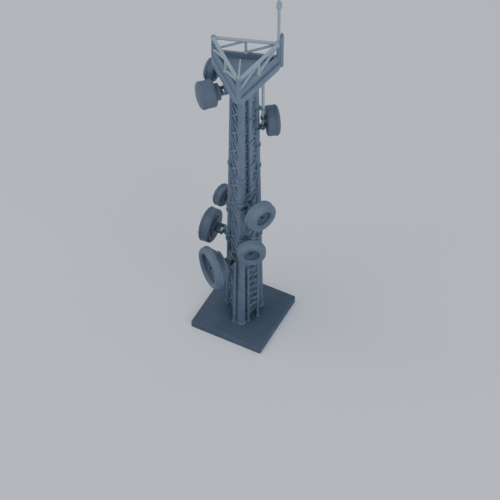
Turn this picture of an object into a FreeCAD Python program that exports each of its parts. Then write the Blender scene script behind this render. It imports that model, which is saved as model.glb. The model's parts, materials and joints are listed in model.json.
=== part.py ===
"""Scale model of a three-legged radio mast: tower, guarded head and eight drum antennas.

Units are millimetres, +Z is up and the origin is the middle of the base plate's underside.
Azimuths are degrees about +Z from +X. Each antenna turns about an upright pin on its bracket
and, except the one on the drop pipe, tips about a cross pin in its yoke.
"""
import FreeCAD, Part
import math
import os

V = FreeCAD.Vector
Z_AXIS = V(0, 0, 1)
Y_AXIS = V(0, 1, 0)
X_AXIS = V(1, 0, 0)
WIDE = 20.0  # across any block that only cuts
PAST = 4.0  # how far a cutting block or bore runs past what it cuts

SIZES = {
    # base and tower
    "base_side": 25.0, "base_thick": 2.5, "base_round": 0.35,
    "foot_ring": 5.5, "top_ring": 3.75, "tower_top": 106.4,
    "leg_foot_rad": 1.35, "leg_top_rad": 1.05,
    "core_outset": 0.9, "flange_rad": 1.75, "flange_height": 0.9, "flange_lip": 0.1,
    "collar_height": 1.0, "collar_wall": 0.25,
    "bay_count": 13, "bar_first": 2.0, "brace_wide": 0.62, "brace_thick": 0.35,
    # ladder, conduit and duct
    "stile_rad": 0.42, "rung_rad": 0.3, "rung_pitch": 2.85, "rung_first": 9.7, "rung_count": 7,
    "stile_over": 1.1,
    "standoff_rad": 0.3, "standoff_left": 2.3, "standoff_right": 3.4,
    "conduit_rad": 0.65, "conduit_top": 30.0,
    "duct_wide": 1.6, "duct_deep": 1.1, "duct_low": 61.0, "duct_round": 0.42, "duct_aside": 1.1,
    "clip_count": 5, "clip_first": 2.4, "clip_pitch": 9.9, "clip_high": 0.8, "clip_wall": 0.25,
    # head
    "head_collar_rad": 5.3, "deck_low": 107.6, "deck_thick": 2.4, "deck_side": 23.2, "deck_round": 2.0,
    "deck_edge": 0.35,
    "cage_side": 19.2, "rail_height": 117.2, "rail_rad": 0.55, "post_rad": 0.68, "mid_post_rad": 0.45,
    "cage_brace_rad": 0.42, "cage_brace_inset": 0.2, "cage_brace_short": 0.25, "toe_high": 2.3, "toe_thick": 0.7,
    # whip, its bracket and the lightning rod
    "bracket_wide": 1.35, "bracket_deep": 1.25, "bracket_top": 120.4, "bracket_out": 0.75,
    "bracket_lift": 0.3, "bracket_slope": 38.0, "bracket_slope_out": 1.0,
    "whip_rad": 0.48, "whip_tip_rad": 0.3, "whip_top": 137.0,
    "knob_rad": 0.85, "knob_low": 131.2, "knob_high": 2.2, "knob_round": 0.35,
    "rod_foot_rad": 0.32, "rod_tip_rad": 0.16, "rod_high": 8.6, "rod_sunk": 0.4,
    "rod_lean_x": 0.57, "rod_lean_y": 0.3,
    # antenna mounts, at a scale of one
    "pin_rad": 0.42, "pin_high": 3.2, "pin_head_rad": 0.66, "pin_head_high": 0.3, "running_gap": 0.05,
    "lug_gap": 0.9, "lug_thick": 0.5, "lug_rad": 0.85, "lug_wide": 1.5, "strap_wall": 0.45,
    "yoke_high": 1.6, "web_long": 1.4, "plate_thick": 0.45, "plate_wide": 3.3, "ear_thick": 0.45,
    "tilt_arm": 2.6, "ear_rad": 0.7, "boss_wide": 2.1, "boss_rad": 0.6, "trunnion_rad": 0.3, "hub_start": 3.4,
    "hub_sunk": 0.2, "boss_sunk": 0.02, "trunnion_over": 0.15,
    "cross_bar_long": 6.4, "cross_bar_thick": 0.7, "cross_bar_back": 1.3, "cross_lug_long": 1.5,
    # drop pipe and the antenna on it
    "pipe_rad": 0.5, "pipe_reach": 3.4, "pipe_collar_rad": 0.82, "pipe_collar_high": 0.8,
    "pipe_collar_drop": 1.6, "pipe_web_long": 1.1, "pipe_drum_start": 0.85,
    "pipe_strap_high": 5.4, "pipe_strap_low": 2.9, "pipe_strap_scale": 0.75,
    # antennas: radome and open drum proportions
    "radome_thick": 1.3, "radome_round": 1.15, "drum_round": 0.7, "hub_share": 0.62,
    "mouth_share_f": 0.5, "mouth_share_g": 0.5, "mouth_share_h": 0.7, "mouth_depth_share": 0.62,
    "lip_outer_share": 0.5, "lip_inner_share": 0.42, "bowl_floor": 0.35, "bowl_share": 0.5,
    "feed_rad": 0.3, "feed_share": 0.72, "feed_tip_share": 0.68, "feed_tip_high": 0.3, "feed_sunk": 0.1,
}

# One row for each antenna: pin ring radius, pin azimuth, height, facing azimuth, drum radius,
# drum depth, hub length and mount scale.
ANTENNAS = {
    "a": (7.76, 155.5, 102.9, 185.5, 3.5, 3.8, 0.4, 0.8),
    "b": (4.33, 202.6, 102.4, 226.6, 4.3, 5.2, 1.5, 0.9),
    "c": (5.95, 38.8, 88.0, 35.6, 4.7, 4.3, 0.0, 1.0),
    "d": (5.70, 147.0, 48.2, 170.6, 3.6, 3.5, 0.4, 0.8),
    "e": (7.18, 163.5, 34.7, 182.6, 5.6, 4.3, 0.5, 1.0),
    "f": (5.15, 320.8, 56.9, 335.6, 4.95, 3.9, 0.4, 0.9),
    "g": (5.10, 320.0, 41.0, 303.6, 4.5, 3.5, 0.4, 0.9),
    "h": (4.64, 235.0, 28.4, 233.6, 7.0, 2.4, 0.4, 0.8),
}
ANTENNA_COLUMNS = ("pin_ring", "pin_azimuth", "height", "facing", "radius", "depth", "hub", "scale")
CONE = {"cone_depth": 2.6, "cone_back_rad": 4.2}

LEG_AZIMUTHS = {"front": -70.0, "right": 50.0, "left": 170.0}
FACE_AZIMUTHS = {"front_right": -10.0, "rear": 110.0, "front_left": 230.0}
CLAMP_LEG = {"a": "left", "b": "left", "d": "left", "e": "left", "f": "front", "g": "front"}
COLLAR_HEIGHTS = {"front": (37.0, 68.0), "right": (37.0, 68.0, 77.0), "left": (37.0, 68.0)}
LADDER_FEET = {"left": (3.62, -3.72), "right": (5.33, -0.43)}
LADDER_STAY_BARS = (1, 3)
CONDUIT_FOOT = (-0.07, -5.90)
CONDUIT_TOP = (-0.05, -5.62)
CLOSED_DRUMS = ("a", "b", "c", "d", "e")

doc = FreeCAD.newDocument("RadioMast")
sheet = doc.addObject("Spreadsheet::Sheet", "Sizes")
nodes = []


def fill_sheet():
    cells = dict(SIZES)
    cells.update(CONE)
    for letter, row in ANTENNAS.items():
        for column, value in zip(ANTENNA_COLUMNS, row):
            cells["antenna_" + letter + "_" + column] = value
    for line, (name, value) in enumerate(cells.items(), start=1):
        sheet.set("A%d" % line, name)
        sheet.set("B%d" % line, str(value))
        sheet.setAlias("B%d" % line, name)
    doc.recompute()


def size(name):
    """A size read back from the sheet."""
    return float(getattr(sheet, name))


def dish(letter, column):
    return size("antenna_" + letter + "_" + column)


def polar(radius, azimuth, height=0.0):
    turn = math.radians(azimuth)
    return V(radius * math.cos(turn), radius * math.sin(turn), height)


def turned(point, azimuth):
    """A placement at a point with its own +X turned to an azimuth."""
    return FreeCAD.Placement(point, FreeCAD.Rotation(Z_AXIS, azimuth))


def shifted(place, offset, axis=Z_AXIS, angle=0.0):
    """A placement moved by an offset, then turned, in its own axes."""
    return place.multiply(FreeCAD.Placement(offset, FreeCAD.Rotation(axis, angle)))


def along(start, end):
    """A placement at start whose +Z points at end."""
    return FreeCAD.Placement(start, FreeCAD.Rotation(Z_AXIS, end.sub(start)))


def primitive(kind, name, place, **formulas):
    """A Part primitive whose sizes are bound to the sheet; a bare number is a derived size."""
    item = doc.addObject("Part::" + kind, name)
    for prop, formula in formulas.items():
        if isinstance(formula, str):
            item.setExpression(prop, formula)
        else:
            setattr(item, prop, formula)
    item.Placement = place
    item.recompute()
    return item


def block(name, place, length, width, height):
    """A box centred on its placement in X and Y, standing on it in Z."""
    item = primitive("Box", name, place, Length=length, Width=width, Height=height)
    middle = V(-item.Length.Value / 2, -item.Width.Value / 2, 0)
    item.Placement = shifted(place, middle)
    return item


def fuse(name, items):
    item = doc.addObject("Part::MultiFuse", name)
    item.Shapes = items
    item.Refine = True
    return item


def cut(name, base, tool):
    item = doc.addObject("Part::Cut", name)
    item.Base = base
    item.Tool = tool
    return item


def group(name, items):
    """Several equal pieces kept as separate solids of one node."""
    item = doc.addObject("Part::Compound", name)
    item.Links = items
    return item


def round_edges(name, base, radius, wanted):
    """A fillet on every edge that the test picks."""
    doc.recompute()
    item = doc.addObject("Part::Fillet", name)
    item.Base = base
    edges = enumerate(base.Shape.Edges, start=1)
    item.Edges = [(number, radius, radius) for number, edge in edges if wanted(edge)]
    return item


def node(name, item):
    item.Label = name
    nodes.append(item)
    return item


def tower_share(height):
    low = size("base_thick")
    return (height - low) / (size("tower_top") - low)


def leg_point(leg, height):
    """The middle of a leg at a height."""
    ring = size("foot_ring") + (size("top_ring") - size("foot_ring")) * tower_share(height)
    return polar(ring, LEG_AZIMUTHS[leg], height)


def leg_radius(height):
    low = size("leg_foot_rad")
    return low + (size("leg_top_rad") - low) * tower_share(height)


def loft(name, low, high):
    item = doc.addObject("Part::Loft", name)
    item.Sections = [low, high]
    item.Solid = True
    item.Ruled = True
    return item


def make_base():
    plate = block("BasePlate", turned(V(0, 0, 0), 0), "Sizes.base_side", "Sizes.base_side", "Sizes.base_thick")
    top = size("base_thick")
    rounded = round_edges("BaseRounded", plate, size("base_round"), lambda edge: edge.CenterOfMass.z > top / 4)
    node("base_plate", rounded)


def make_legs():
    """Three tapered legs leaning in, cut level at the base and under the head."""
    low, high = size("base_thick"), size("tower_top")
    ends = [block("LegsFloor", turned(V(0, 0, low - PAST), 0), WIDE, WIDE, PAST),
            block("LegsRoof", turned(V(0, 0, high), 0), WIDE, WIDE, PAST)]
    legs = {}
    for leg in LEG_AZIMUTHS:
        foot = leg_point(leg, low - 1)
        head = leg_point(leg, high + 1)
        blank = primitive("Cone", leg + "LegBlank", along(foot, head), Radius1="Sizes.leg_foot_rad",
                          Radius2="Sizes.leg_top_rad", Height=head.sub(foot).Length)
        legs[leg] = node("leg_" + leg, cut(leg + "Leg", cut(leg + "LegLow", blank, ends[0]), ends[1]))
    return legs, fuse("AllLegs", list(legs.values()))


def make_shaft(name, outset):
    """A three-sided shaft whose corners stand out from the legs' circle by an outset."""
    ends = []
    for end_name, height, ring in (("Foot", "base_thick", "foot_ring"), ("Top", "tower_top", "top_ring")):
        end = doc.addObject("Part::RegularPolygon", name + end_name)
        end.Polygon = 3
        end.setExpression("Circumradius", "Sizes." + ring + " + " + outset)
        end.Placement = turned(V(0, 0, size(height)), LEG_AZIMUTHS["front"])
        ends.append(end)
    return loft(name, ends[0], ends[1])


def make_core(all_legs):
    """The closed three-sided shaft between the legs; returns all that the legs, it and its bars take up."""
    node("mast_core", cut("MastCore", make_shaft("CoreShaft", "Sizes.core_outset"), all_legs))
    grown = make_shaft("GrownShaft", "Sizes.core_outset + 2 * Sizes.brace_thick")
    ring = primitive("Cone", "LegCircle", turned(V(0, 0, size("base_thick")), 0), Radius1="Sizes.foot_ring",
                     Radius2="Sizes.top_ring", Height="Sizes.tower_top - Sizes.base_thick")
    filled = doc.addObject("Part::Common", "FilledShaft")
    filled.Base = grown
    filled.Tool = ring
    return fuse("Tower", [all_legs, filled])


def face_place(azimuth):
    """The middle of a core face's foot: +X across the face, +Y out of it and +Z up the face."""
    foot = (size("foot_ring") + size("core_outset")) / 2
    top = (size("top_ring") + size("core_outset")) / 2
    rise = size("tower_top") - size("base_thick")
    lean = math.degrees(math.atan((foot - top) / rise))
    upright = turned(polar(foot, azimuth, size("base_thick")), azimuth - 90)
    return shifted(upright, V(0, 0, 0), X_AXIS, lean)


def half_gap(height):
    """Half the distance between two legs at a height above the foot."""
    share = height / (size("tower_top") - size("base_thick"))
    ring = size("foot_ring") + (size("top_ring") - size("foot_ring")) * share
    return ring * math.cos(math.radians(30))


def make_braces(all_legs):
    """Crossed bars and level bars lying on each face of the core, one panel a face."""
    bays = int(size("bay_count"))
    low = size("bar_first")
    bay = bay_height()
    for face, azimuth in FACE_AZIMUTHS.items():
        place = face_place(azimuth)
        bars = []
        for step in range(bays + 1):
            bottom = low + step * bay
            ends = [((-half_gap(bottom), bottom), (half_gap(bottom), bottom))]
            if step < bays:
                top = bottom + bay
                ends.append(((-half_gap(bottom), bottom), (half_gap(top), top)))
                ends.append(((half_gap(bottom), bottom), (-half_gap(top), top)))
            for number, (start, end) in enumerate(ends):
                across = end[0] - start[0]
                rise = end[1] - start[1]
                slope = -math.degrees(math.atan2(rise, across))
                middle = V((start[0] + end[0]) / 2, 0, (start[1] + end[1]) / 2)
                bar = primitive("Box", "%s_%d_%d" % (face, step, number), place,
                                Length=math.hypot(across, rise),
                                Width="Sizes.brace_thick", Height="Sizes.brace_wide")
                lying = shifted(place, middle, Y_AXIS, slope)
                bar.Placement = shifted(lying, V(-bar.Length.Value / 2, 0, -bar.Height.Value / 2))
                bars.append(bar)
        node("braces_" + face, cut(face + "Panel", fuse(face + "Bars", bars), all_legs))


def make_leg_trim(tower):
    """Foot flanges and splice collars around the legs."""
    flanges = []
    collars = []
    for leg, heights in COLLAR_HEIGHTS.items():
        foot = leg_point(leg, size("base_thick"))
        flange = primitive("Cone", leg + "Flange", turned(foot, 0), Radius1="Sizes.flange_rad",
                           Radius2="Sizes.leg_foot_rad + Sizes.flange_lip", Height="Sizes.flange_height")
        flanges.append(cut(leg + "FlangeRing", flange, tower))
        for number, height in enumerate(heights):
            wide = leg_radius(height) + size("collar_wall")
            collar = primitive("Cylinder", leg + "Collar%d" % number, turned(leg_point(leg, height), 0),
                               Radius=wide, Height="Sizes.collar_height")
            collars.append(cut(leg + "CollarRing%d" % number, collar, tower))
    node("leg_collars", group("LegCollars", collars))
    return node("foot_flanges", group("FootFlanges", flanges))


def rod(name, start, end, radius):
    length = end.sub(start).Length
    return primitive("Cylinder", name, along(start, end), Radius=radius, Height=length)


def bar_height(step):
    """The height of a level bar on a face."""
    return size("base_thick") + size("bar_first") + step * bay_height()


def bay_height():
    return (size("tower_top") - size("base_thick") - 2 * size("bar_first")) / size("bay_count")


def make_ladder(tower):
    """An upright ladder standing off the front right face, askew to it."""
    low = size("base_thick")
    feet = {side: V(x, y, low) for side, (x, y) in LADDER_FEET.items()}
    last = size("rung_first") + size("rung_pitch") * (size("rung_count") - 1)
    stiles = []
    for side, foot in feet.items():
        stiles.append(primitive("Cylinder", side + "Stile", turned(foot, 0), Radius="Sizes.stile_rad",
                                Height=last - low + size("stile_over")))
    both = fuse("BothStiles", stiles)
    rungs = []
    for number in range(int(size("rung_count"))):
        height = size("rung_first") + number * size("rung_pitch")
        start = V(feet["left"].x, feet["left"].y, height)
        end = V(feet["right"].x, feet["right"].y, height)
        rungs.append(cut("Rung%d" % number, rod("RungBar%d" % number, start, end, "Sizes.rung_rad"), both))
    node("ladder_stiles", group("LadderStiles", stiles))
    node("ladder_rungs", group("LadderRungs", rungs))
    behind = fuse("LadderBack", [tower, both])
    inward = polar(1, FACE_AZIMUTHS["front_right"] + 180)
    standoffs = []
    for side, foot in feet.items():
        for step in LADDER_STAY_BARS:
            start = V(foot.x, foot.y, bar_height(step))
            end = start.add(V(inward).multiply(size("standoff_" + side)))
            bar = rod("%sStandoff%d" % (side, step), start, end, "Sizes.standoff_rad")
            standoffs.append(cut("%sStay%d" % (side, step), bar, behind))
    node("ladder_standoffs", group("LadderStandoffs", standoffs))


def make_conduit(flanges):
    """A feeder conduit running up beside the front leg, with a round end."""
    foot = V(*CONDUIT_FOOT, size("base_thick"))
    top = V(*CONDUIT_TOP, size("conduit_top"))
    run = rod("ConduitRun", foot, top, "Sizes.conduit_rad")
    cap = primitive("Sphere", "ConduitCap", turned(top, 0), Radius="Sizes.conduit_rad")
    floor = block("ConduitFloor", turned(V(0, 0, 0), 0), WIDE, WIDE, "Sizes.base_thick")
    trimmed = cut("ConduitTrimmed", fuse("ConduitPiece", [run, cap]), floor)
    return node("feeder_conduit", cut("Conduit", trimmed, flanges))


def make_duct(all_legs):
    """A cable duct lying on the bars of the front right face, and the clips over it."""
    start = V(size("duct_aside"), size("brace_thick"), size("duct_low") - size("base_thick"))
    place = shifted(face_place(FACE_AZIMUTHS["front_right"]), start)
    deep = size("duct_deep")
    length = size("tower_top") - size("duct_low")
    box = block("DuctBox", shifted(place, V(0, deep / 2, 0)), "Sizes.duct_wide", "Sizes.duct_deep", length)

    def is_outer(edge):
        return edge.Length > length / 2 and place.inverse().multVec(edge.CenterOfMass).y > deep / 2

    rounded = round_edges("DuctRounded", box, size("duct_round"), is_outer)
    roof = block("DuctRoof", turned(V(0, 0, size("tower_top")), 0), WIDE, WIDE, PAST)
    duct = node("cable_duct", cut("CableDuct", rounded, roof))
    clips = []
    wall = size("clip_wall")
    for step in range(int(size("clip_count"))):
        seat = shifted(place, V(0, (deep + wall) / 2, size("clip_first") + step * size("clip_pitch")))
        clip = block("ClipBlock%d" % step, seat, size("duct_wide") + 2 * wall, deep + wall, "Sizes.clip_high")
        clips.append(cut("Clip%d" % step, clip, fuse("ClipInside%d" % step, [duct, all_legs])))
    node("duct_clips", group("DuctClips", clips))


def triangle(name, side, height, thick):
    """A three-cornered plate with a corner at the front leg's azimuth."""
    plate = doc.addObject("Part::Prism", name)
    plate.Polygon = 3
    plate.setExpression("Circumradius", side + " / sqrt(3)")
    plate.setExpression("Height", thick)
    plate.Placement = turned(V(0, 0, height), LEG_AZIMUTHS["front"])
    plate.recompute()
    return plate


def make_deck():
    collar = primitive("Cylinder", "HeadCollar", turned(V(0, 0, size("tower_top")), 0),
                       Radius="Sizes.head_collar_rad", Height="Sizes.deck_low - Sizes.tower_top")
    node("head_collar", collar)
    low = size("deck_low")
    top = low + size("deck_thick")
    plate = triangle("DeckPlate", "Sizes.deck_side", low, "Sizes.deck_thick")

    def is_level(edge):
        return min(abs(edge.CenterOfMass.z - low), abs(edge.CenterOfMass.z - top)) < 0.01

    corners = round_edges("DeckCorners", plate, size("deck_round"), lambda edge: not is_level(edge))
    return node("deck_plate", round_edges("DeckRounded", corners, size("deck_edge"), is_level)), top


def make_cage(deck_top):
    """Guard rails around the deck: posts, top rails, toe boards and slanted braces."""
    ring = size("cage_side") / math.sqrt(3)
    rail = size("rail_height")
    corners = {leg: polar(ring, azimuth) for leg, azimuth in LEG_AZIMUTHS.items()}
    posts = []
    for leg, corner in corners.items():
        post = primitive("Cylinder", leg + "Post", turned(V(corner.x, corner.y, deck_top), 0),
                         Radius="Sizes.post_rad", Height="Sizes.rail_height + Sizes.rail_rad - %g" % deck_top)
        posts.append(post)
    all_posts = fuse("AllPosts", posts)
    sides = {"front_right": ("front", "right"), "rear": ("left", "right"), "front_left": ("left", "front")}
    rails = []
    boards = []
    mids = []
    slants = []
    toe_top = deck_top + size("toe_high")
    for side, (first, last) in sides.items():
        start, end = corners[first], corners[last]
        bar = rod(side + "RailBar", V(start.x, start.y, rail), V(end.x, end.y, rail), "Sizes.rail_rad")
        ends = fuse(side + "RailEnds", [all_posts] + rails) if rails else all_posts
        rails.append(cut(side + "Rail", bar, ends))
        middle = start.add(end).multiply(0.5)
        seat = turned(V(middle.x, middle.y, deck_top), FACE_AZIMUTHS[side] - 90)
        board = block(side + "Board", seat, "Sizes.cage_side", "Sizes.toe_thick", "Sizes.toe_high")
        boards.append(cut(side + "ToeBoard", board, all_posts))
        mid = primitive("Cylinder", side + "MidPost", turned(V(middle.x, middle.y, toe_top), 0),
                        Radius="Sizes.mid_post_rad", Height=rail - toe_top)
        mids.append(cut(side + "Mid", mid, rails[-1]))
        held = fuse(side + "Frame", [all_posts, rails[-1], boards[-1], mids[-1]])
        for number, (low, high) in enumerate(((start, middle), (middle, end))):
            foot = V(low.x, low.y, toe_top + size("cage_brace_inset"))
            head = V(high.x, high.y, rail - size("cage_brace_inset"))
            short = head.sub(foot).normalize().multiply(size("cage_brace_short"))
            slant = rod("%sSlantBar%d" % (side, number), foot.add(short), head.sub(short), "Sizes.cage_brace_rad")
            slants.append(cut("%sSlant%d" % (side, number), slant, held))
    node("corner_posts", group("CornerPosts", posts))
    node("top_rails", group("TopRails", rails))
    node("toe_boards", group("ToeBoards", boards))
    node("mid_posts", group("MidPosts", mids))
    node("cage_braces", group("CageBraces", slants))
    return corners, all_posts


def make_head_aerials(deck, corners, all_posts):
    """The whip with its bracket on the right corner, and a lightning rod on the front corner."""
    azimuth = LEG_AZIMUTHS["right"]
    post_top = size("rail_height") + size("rail_rad")
    corner = corners["right"]
    low = size("deck_low") + size("bracket_lift")
    seat = turned(polar(corner.Length + size("bracket_out"), azimuth, low), azimuth)
    bar = block("BracketBar", seat, "Sizes.bracket_deep", "Sizes.bracket_wide",
                "Sizes.bracket_top - Sizes.deck_low")
    peak = polar(corner.Length + size("bracket_slope_out"), azimuth, size("bracket_top"))
    slope = shifted(turned(peak, azimuth), V(0, 0, 0), Y_AXIS, -size("bracket_slope"))
    slope_cut = block("BracketSlope", slope, 2 * PAST, 2 * PAST, 2 * PAST)
    whip_foot = V(corner.x, corner.y, post_top)
    tip = V(corner.x, corner.y, size("whip_top"))
    knob_top = size("knob_low") + size("knob_high")
    whip = primitive("Cylinder", "WhipRod", turned(whip_foot, 0), Radius="Sizes.whip_rad",
                     Height=knob_top - post_top)
    thin = primitive("Cone", "WhipTip", turned(V(corner.x, corner.y, knob_top), 0),
                     Radius1="Sizes.whip_rad", Radius2="Sizes.whip_tip_rad", Height=tip.z - knob_top)
    mast = node("whip_antenna", fuse("WhipAntenna", [whip, thin]))
    around = fuse("BracketAround", [deck, all_posts, slope_cut, whip])
    node("whip_bracket", cut("WhipBracket", bar, around))
    knob = primitive("Cylinder", "KnobBlank", turned(V(corner.x, corner.y, size("knob_low")), 0),
                     Radius="Sizes.knob_rad", Height="Sizes.knob_high")
    knob = round_edges("KnobRounded", knob, size("knob_round"), lambda edge: edge.isClosed())
    node("whip_knob", cut("WhipKnob", knob, mast))
    front = corners["front"]
    foot = V(front.x, front.y, post_top)
    lean = V(size("rod_lean_x"), size("rod_lean_y"), size("rod_high"))
    upward = along(foot.sub(V(0, 0, size("rod_sunk"))), foot.add(lean))
    spike = primitive("Cone", "Spike", upward, Radius1="Sizes.rod_foot_rad", Radius2="Sizes.rod_tip_rad",
                      Height="Sizes.rod_high")
    node("lightning_rod", cut("LightningRod", spike, all_posts))


def make_drop_pipe(tower):
    """The pipe hanging under the deck beside the right leg, and its two straps."""
    height = dish("c", "height")
    foot = polar(dish("c", "pin_ring"), dish("c", "pin_azimuth"), height - size("pipe_reach"))
    pipe = primitive("Cylinder", "DropPipe", turned(foot, 0), Radius="Sizes.pipe_rad",
                     Height="Sizes.deck_low - Sizes.antenna_c_height + Sizes.pipe_reach")
    node("drop_pipe", pipe)
    straps = []
    for number, level in enumerate((height + size("pipe_strap_high"), height - size("pipe_strap_low"))):
        pin = V(foot.x, foot.y, level - size("lug_thick") / 2)
        inside = fuse("PipeInside%d" % number, [tower, pipe])
        straps.append(strap("PipeStrap%d" % number, pin, "right", size("pipe_strap_scale"), inside))
    node("bracket_c", group("BracketC", straps))


def strap(name, pin, leg, scale, inside):
    """A plate that rings a leg and reaches out to a pin."""
    leg_axis = leg_point(leg, pin.z)
    reach = V(pin.x - leg_axis.x, pin.y - leg_axis.y, 0)
    place = turned(pin, math.degrees(math.atan2(reach.y, reach.x)))
    thick = "Sizes.lug_thick"
    tongue = block(name + "Tongue", shifted(place, V(-reach.Length / 2, 0, 0)), reach.Length,
                   "Sizes.lug_wide * %g" % scale, thick)
    nose = primitive("Cylinder", name + "Nose", place, Radius="Sizes.lug_rad * %g" % scale, Height=thick)
    ring = primitive("Cylinder", name + "Ring", turned(leg_axis, 0),
                     Radius=leg_radius(pin.z) + size("strap_wall"), Height=thick)
    return cut(name, fuse(name + "Plate", [tongue, nose, ring]), inside)


def make_pin(letter, place, scale):
    """An upright pin with a head at each end, centred on its placement."""
    high = size("pin_high")
    thick = size("pin_head_high")
    shank = primitive("Cylinder", letter + "PinShank", shifted(place, V(0, 0, -high / 2)),
                      Radius="Sizes.pin_rad * %g" % scale, Height="Sizes.pin_high")
    heads = []
    for end, level in (("Low", -high / 2), ("High", high / 2 - thick)):
        heads.append(primitive("Cylinder", letter + "PinHead" + end, shifted(place, V(0, 0, level)),
                               Radius="Sizes.pin_head_rad * %g" % scale, Height="Sizes.pin_head_high"))
    return fuse(letter + "Pin", [shank] + heads)


def make_bracket(letter, place, pin, tower):
    """The fixed half of an antenna's mount: an upper and a lower lug for the upright pin."""
    scale = dish(letter, "scale")
    gap, thick = size("lug_gap"), size("lug_thick")
    inside = fuse(letter + "BracketInside", [tower, pin])
    if letter in CLAMP_LEG:
        straps = []
        for end, level in (("Low", -gap - thick), ("High", gap)):
            at = place.Base.add(V(0, 0, level))
            straps.append(strap(letter + "Strap" + end, at, CLAMP_LEG[letter], scale, inside))
        node("bracket_" + letter, group(letter + "Bracket", straps))
        return
    face = turned(place.Base, FACE_AZIMUTHS["front_left"])
    lugs = []
    for end, level in (("Low", -gap - thick), ("High", gap)):
        middle = V(-size("cross_lug_long") / 2, 0, level)
        lugs.append(block(letter + "Lug" + end, shifted(face, middle), "Sizes.cross_lug_long", "Sizes.lug_wide",
                          "Sizes.lug_thick"))
        lugs.append(primitive("Cylinder", letter + "LugNose" + end, shifted(face, V(0, 0, level)),
                              Radius="Sizes.lug_rad", Height="Sizes.lug_thick"))
    back = shifted(face, V(-size("cross_bar_back"), 0, -gap - thick))
    bar = block(letter + "CrossBar", back, "Sizes.cross_bar_thick", "Sizes.cross_bar_long", 2 * (gap + thick))
    node("bracket_" + letter, cut(letter + "Bracket", fuse(letter + "BracketPlate", lugs + [bar]), inside))


def make_yoke(letter, place):
    """The turning half: a knuckle on the pin, a cross plate and two ears for the cross pin."""
    scale = dish(letter, "scale")
    high = "Sizes.yoke_high"
    half = size("yoke_high") / 2
    arm = size("tilt_arm") * scale
    ear_high = size("ear_rad") * 2 * scale
    knuckle = primitive("Cylinder", letter + "Knuckle", shifted(place, V(0, 0, -half)),
                        Radius="Sizes.lug_rad * %g" % scale, Height=high)
    web_long = size("web_long") * scale
    web = block(letter + "Web", shifted(place, V(web_long / 2, 0, -half)), web_long,
                "Sizes.lug_wide * %g" % scale, high)
    plate_mid = (size("web_long") - size("plate_thick") / 2) * scale
    plate = block(letter + "Plate", shifted(place, V(plate_mid, 0, -half)), "Sizes.plate_thick * %g" % scale,
                  "Sizes.plate_wide * %g" % scale, high)
    parts = [knuckle, web, plate]
    side = (size("plate_wide") - size("ear_thick")) / 2 * scale
    start = (size("web_long") - size("plate_thick")) * scale
    for name, offset in (("Left", side), ("Right", -side)):
        parts.append(block(letter + "Ear" + name, shifted(place, V((start + arm) / 2, offset, -ear_high / 2)),
                           arm - start, "Sizes.ear_thick * %g" % scale, ear_high))
        end = shifted(place, V(arm, offset + size("ear_thick") / 2 * scale, 0), X_AXIS, 90)
        parts.append(primitive("Cylinder", letter + "EarEnd" + name, end, Radius="Sizes.ear_rad * %g" % scale,
                               Height="Sizes.ear_thick * %g" % scale))
    gap = size("running_gap")
    bore = primitive("Cylinder", letter + "PinBore", shifted(place, V(0, 0, -PAST)),
                     Radius="Sizes.pin_rad * %g + %g" % (scale, gap), Height=2 * PAST)
    across = shifted(place, V(arm, PAST, 0), X_AXIS, 90)
    cross = primitive("Cylinder", letter + "CrossBore", across,
                      Radius="Sizes.trunnion_rad * %g + %g" % (scale, gap), Height=2 * PAST)
    return node("yoke_" + letter, cut(letter + "Yoke", fuse(letter + "YokeBlank", parts),
                                      fuse(letter + "YokeBores", [bore, cross])))


def facing(place, distance):
    """A placement at a distance along the way an antenna faces, its +Z that way."""
    return shifted(place, V(distance, 0, 0), Y_AXIS, 90)


def mount_end(letter, place):
    """The pieces behind a drum that ride on the yoke: hub, boss and cross pin."""
    scale = dish(letter, "scale")
    arm = size("tilt_arm") * scale
    start = size("hub_start") * scale
    boss_high = size("boss_rad") * 2 * scale
    hub_rad = "Sizes.antenna_%s_radius * Sizes.hub_share" % letter
    hub = primitive("Cylinder", letter + "Hub", facing(place, start), Radius=hub_rad,
                    Height=dish(letter, "hub") + size("hub_sunk"))
    wide = "Sizes.boss_wide * %g" % scale
    boss = block(letter + "Boss", shifted(place, V((arm + start) / 2, 0, -boss_high / 2)),
                 start - arm + size("boss_sunk"), wide, boss_high)
    half = size("boss_wide") / 2 * scale
    nose = primitive("Cylinder", letter + "BossEnd", shifted(place, V(arm, half, 0), X_AXIS, 90),
                     Radius="Sizes.boss_rad * %g" % scale, Height=wide)
    reach = size("plate_wide") / 2 * scale + size("trunnion_over")
    pin = primitive("Cylinder", letter + "Trunnion", shifted(place, V(arm, reach, 0), X_AXIS, 90),
                    Radius="Sizes.trunnion_rad * %g" % scale, Height=2 * reach)
    return [hub, boss, nose, pin]


def drum_start(letter):
    """How far a drum's back is from the upright pin."""
    if letter == "c":
        return size("pipe_drum_start")
    return size("hub_start") * dish(letter, "scale") + dish(letter, "hub")


def is_rim(place, radius, distance):
    """A test for the full circle of a given radius at a distance along the facing axis."""

    def test(edge):
        curve = edge.Curve
        if not hasattr(curve, "Radius") or abs(curve.Radius - radius) > 0.001:
            return False
        return abs(place.inverse().multVec(curve.Center).x - distance) < 0.01

    return test


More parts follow.
